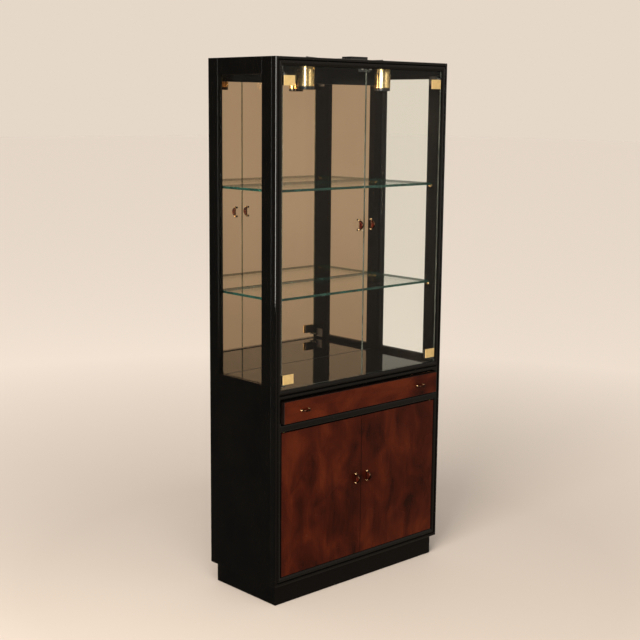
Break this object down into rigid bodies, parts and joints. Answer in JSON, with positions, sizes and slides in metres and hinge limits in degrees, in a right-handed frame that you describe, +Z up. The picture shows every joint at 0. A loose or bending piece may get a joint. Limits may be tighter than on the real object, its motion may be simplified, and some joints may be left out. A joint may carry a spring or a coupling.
{
  "type": "glass display showcase",
  "caption": "Tall lacquered display cabinet with mirror back, lighted glass-shelf bay behind pivoting glass doors, a drawer, and veneered doors over a plinth.",
  "frame": {"origin": "on the floor under the middle of the case, on the underside of the plinth's middle board", "axes": "+X along the width to the right as seen from the front, +Y towards the back, +Z up"},
  "size_m": [0.9, 0.4212, 2.044],
  "materials": {
    "black_lacquer": "semi-gloss black lacquer over wood",
    "veneer": "polished dark red-brown figured veneer",
    "plain_wood": "plain satin wood",
    "brass": "polished",
    "clear_glass": "clear with green edges",
    "bronze_mirror": "bronze-tinted mirror",
    "black_metal": "satin black paint",
    "socket_ceramic": "off-white glazed",
    "lamp_glass": "frosted",
    "plated_steel": "zinc plated",
    "lead_sheath": "flexible black sheath",
    "black_plastic": "satin"
  },
  "bodies": {
    "case": {"plinth_front": "black_lacquer", "plinth_back": "black_lacquer", "plinth_cross_boards": "black_lacquer", "side_panel_left": "black_lacquer", "side_panel_right": "black_lacquer", "front_window_uprights": "black_lacquer", "rear_window_uprights": "black_lacquer", "window_heads": "black_lacquer", "bottom_panel": "black_lacquer", "divider_panel": "plain_wood", "display_deck": "black_lacquer", "top_panel": "black_lacquer", "back_panel": "black_lacquer", "back_header": "black_lacquer", "stile_left": "black_lacquer", "stile_right": "black_lacquer", "top_rail": "black_lacquer", "waist_rail": "black_lacquer", "drawer_rail": "black_lacquer", "bottom_rail": "black_lacquer", "front_posts": "black_lacquer", "rear_posts": "black_lacquer", "back_mirror": "bronze_mirror", "side_glass_left": "clear_glass", "side_glass_right": "clear_glass", "glass_beads": "black_lacquer", "glass_shelf_upper": "clear_glass", "glass_shelf_lower": "clear_glass", "shelf_pins": "brass", "cabinet_shelf": "plain_wood", "can_shells": "brass", "can_baffles": "black_metal", "lamp_sockets": "socket_ceramic", "lamp_bulbs": "lamp_glass", "can_stems": "plated_steel", "wiring_box": "black_metal", "light_leads": "lead_sheath", "hinge_arms": "black_metal", "door_pivot_pins": "brass", "drawer_runners": "plain_wood", "door_catches": "black_plastic"},
    "left_glass_door": {"glass_door_left": "clear_glass", "left_hinge_plates": "brass", "left_hinge_clamps": "black_metal", "left_glass_pull": "brass"},
    "right_glass_door": {"glass_door_right": "clear_glass", "right_hinge_plates": "brass", "right_hinge_clamps": "black_metal", "right_glass_pull": "brass"},
    "drawer": {"drawer_front": "veneer", "drawer_sides": "plain_wood", "drawer_back": "plain_wood", "drawer_bottom": "plain_wood", "drawer_pulls": "brass"},
    "left_wood_door": {"wood_door_left": "veneer", "left_wood_pull": "brass"},
    "right_wood_door": {"wood_door_right": "veneer", "right_wood_pull": "brass"}
  },
  "joints": [
    {"name": "left_glass_door_hinge", "type": "hinge", "parent": "case", "child": "left_glass_door", "pos_m": [-0.407, -0.186, 0.87], "axis": [0, 0, -1], "range_deg": [0, 100]},
    {"name": "right_glass_door_hinge", "type": "hinge", "parent": "case", "child": "right_glass_door", "pos_m": [0.407, -0.186, 0.87], "axis": [0, 0, 1], "range_deg": [0, 100]},
    {"name": "drawer_slide", "type": "slide", "parent": "case", "child": "drawer", "axis": [0, -1, 0], "range_m": [0, 0.25]},
    {"name": "left_wood_door_hinge", "type": "hinge", "parent": "case", "child": "left_wood_door", "pos_m": [-0.4, -0.183, 0.112], "axis": [0, 0, -1], "range_deg": [0, 100]},
    {"name": "right_wood_door_hinge", "type": "hinge", "parent": "case", "child": "right_wood_door", "pos_m": [0.4, -0.183, 0.112], "axis": [0, 0, 1], "range_deg": [0, 100]}
  ]
}
